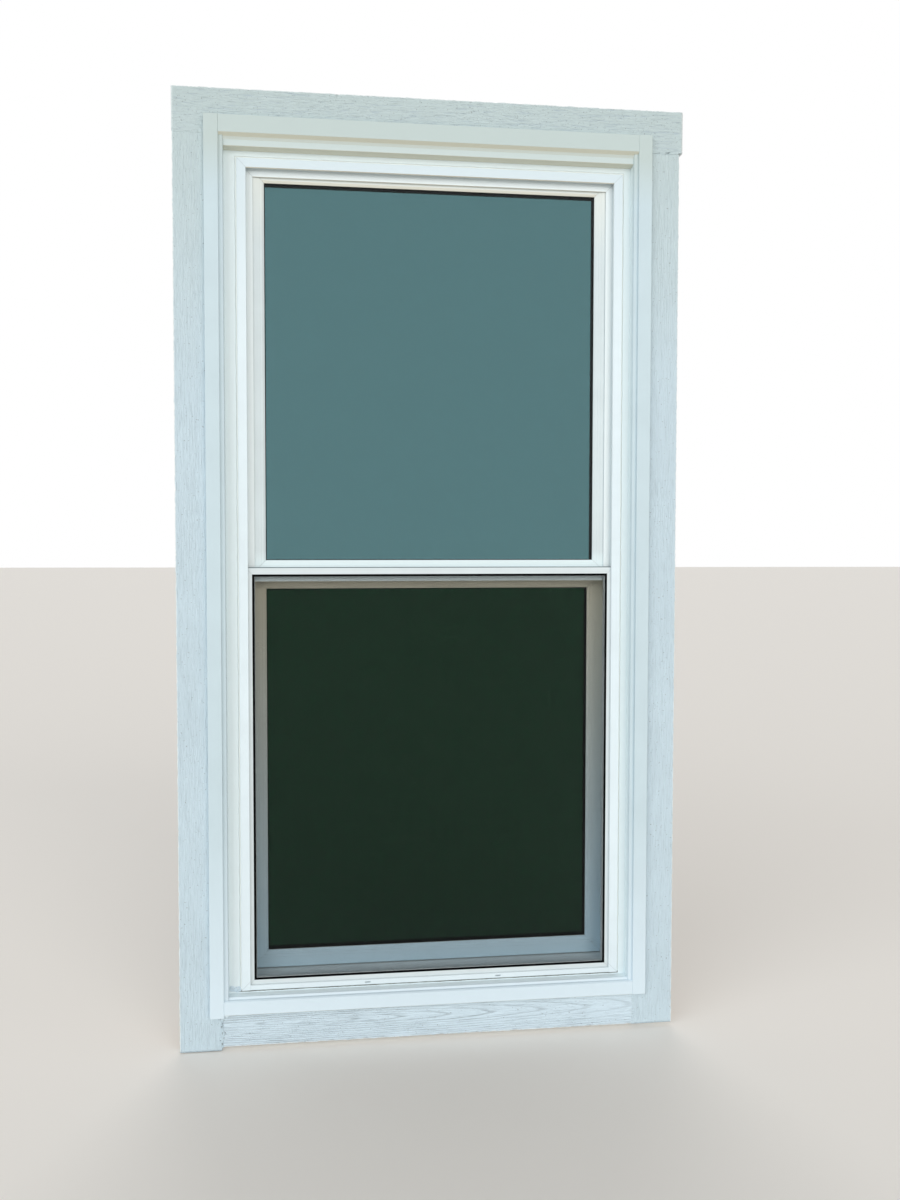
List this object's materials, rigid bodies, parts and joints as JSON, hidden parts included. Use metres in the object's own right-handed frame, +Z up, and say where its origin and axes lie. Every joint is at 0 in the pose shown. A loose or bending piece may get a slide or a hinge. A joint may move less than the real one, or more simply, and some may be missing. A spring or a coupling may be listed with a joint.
{
  "type": "double-hung sash window",
  "caption": "Vertical sliding sash window with two glazed sashes in a vinyl frame, half insect screen, outside trim and painted board casing.",
  "frame": {"origin": "middle of the frame sill's flat underside", "axes": "+Z up, -Y towards the outside, +X to the right seen from outside"},
  "size_m": [1.074, 0.11, 1.985],
  "materials": {
    "painted_wood": "rough brushed white paint",
    "sealant": "white exterior sealant",
    "white_trim": "smooth white trim",
    "white_vinyl": "white extruded vinyl",
    "sash_vinyl": "white extruded vinyl",
    "screen_aluminium": "white coated",
    "plastic_fittings": "moulded",
    "black_rubber": "black",
    "insect_mesh": "charcoal coated strands",
    "glass": "clear float glass",
    "pile": "grey pile",
    "steel": "zinc plated",
    "lock_metal": "white coated die casting"
  },
  "bodies": {
    "frame": {"casing_head": "painted_wood", "casing_left": "painted_wood", "casing_right": "painted_wood", "casing_sill": "painted_wood", "frame_head": "white_vinyl", "frame_jamb_left": "white_vinyl", "frame_jamb_right": "white_vinyl", "frame_sill": "white_vinyl", "lower_balance_coils": "plastic_fittings", "lower_balance_ribbons": "steel", "screen_bar_bottom": "screen_aluminium", "screen_bar_left": "screen_aluminium", "screen_bar_right": "screen_aluminium", "screen_bar_top": "screen_aluminium", "screen_corner_keys": "plastic_fittings", "screen_mesh": "insect_mesh", "screen_spline": "black_rubber", "trim_head": "white_trim", "trim_left": "white_trim", "trim_right": "white_trim", "trim_sealant": "sealant", "trim_sill": "white_trim", "upper_balance_coils": "plastic_fittings", "upper_balance_ribbons": "steel"},
    "upper_sash": {"lock_keepers": "lock_metal", "upper_balance_shoes": "plastic_fittings", "upper_glass_spacer": "black_rubber", "upper_inner_pane": "glass", "upper_meeting_rail": "sash_vinyl", "upper_outer_pane": "glass", "upper_pile_seals": "pile", "upper_pivot_bars": "steel", "upper_rail_beads": "sash_vinyl", "upper_setting_blocks": "black_rubber", "upper_side_beads": "sash_vinyl", "upper_stile_left": "sash_vinyl", "upper_stile_right": "sash_vinyl", "upper_top_rail": "sash_vinyl"},
    "lower_sash": {"lock_case_left": "lock_metal", "lock_case_right": "lock_metal", "lower_balance_shoes": "plastic_fittings", "lower_bottom_rail": "sash_vinyl", "lower_bottom_seal": "black_rubber", "lower_glass_spacer": "black_rubber", "lower_inner_pane": "glass", "lower_outer_pane": "glass", "lower_pile_seals": "pile", "lower_pivot_bars": "steel", "lower_rail_beads": "sash_vinyl", "lower_setting_blocks": "black_rubber", "lower_side_beads": "sash_vinyl", "lower_stile_left": "sash_vinyl", "lower_stile_right": "sash_vinyl", "lower_top_rail": "sash_vinyl"},
    "lock_lever_left": {"lock_lever_left": "lock_metal"},
    "lock_lever_right": {"lock_lever_right": "lock_metal"},
    "lower_latch_left": {"lower_latch_left": "plastic_fittings"},
    "lower_latch_right": {"lower_latch_right": "plastic_fittings"},
    "upper_latch_left": {"upper_latch_left": "plastic_fittings"},
    "upper_latch_right": {"upper_latch_right": "plastic_fittings"}
  },
  "joints": [
    {"name": "lower_sash_slide", "type": "slide", "parent": "frame", "child": "lower_sash", "axis": [0, 0, 1], "range_m": [0, 0.72], "deforming": ["lower_balance_ribbons"]},
    {"name": "upper_sash_slide", "type": "slide", "parent": "frame", "child": "upper_sash", "axis": [0, 0, 1], "range_m": [-0.72, 0], "deforming": ["upper_balance_ribbons"]},
    {"name": "upper_latch_left_slide", "type": "slide", "parent": "upper_sash", "child": "upper_latch_left", "axis": [-1, 0, 0], "range_m": [-0.0085, 0], "stiffness_N_per_m": 400, "springref_m": 0.004},
    {"name": "upper_latch_right_slide", "type": "slide", "parent": "upper_sash", "child": "upper_latch_right", "axis": [1, 0, 0], "range_m": [-0.0085, 0], "stiffness_N_per_m": 400, "springref_m": 0.004},
    {"name": "lower_latch_left_slide", "type": "slide", "parent": "lower_sash", "child": "lower_latch_left", "axis": [-1, 0, 0], "range_m": [-0.0085, 0], "stiffness_N_per_m": 400, "springref_m": 0.004},
    {"name": "lower_latch_right_slide", "type": "slide", "parent": "lower_sash", "child": "lower_latch_right", "axis": [1, 0, 0], "range_m": [-0.0085, 0], "stiffness_N_per_m": 400, "springref_m": 0.004},
    {"name": "lock_lever_left_turn", "type": "hinge", "parent": "lower_sash", "child": "lock_lever_left", "pos_m": [-0.19, 0.014, 0.934], "axis": [0, 0, 1], "range_deg": [0, 150]},
    {"name": "lock_lever_right_turn", "type": "hinge", "parent": "lower_sash", "child": "lock_lever_right", "pos_m": [0.19, 0.014, 0.934], "axis": [0, 0, 1], "range_deg": [0, 150]}
  ]
}
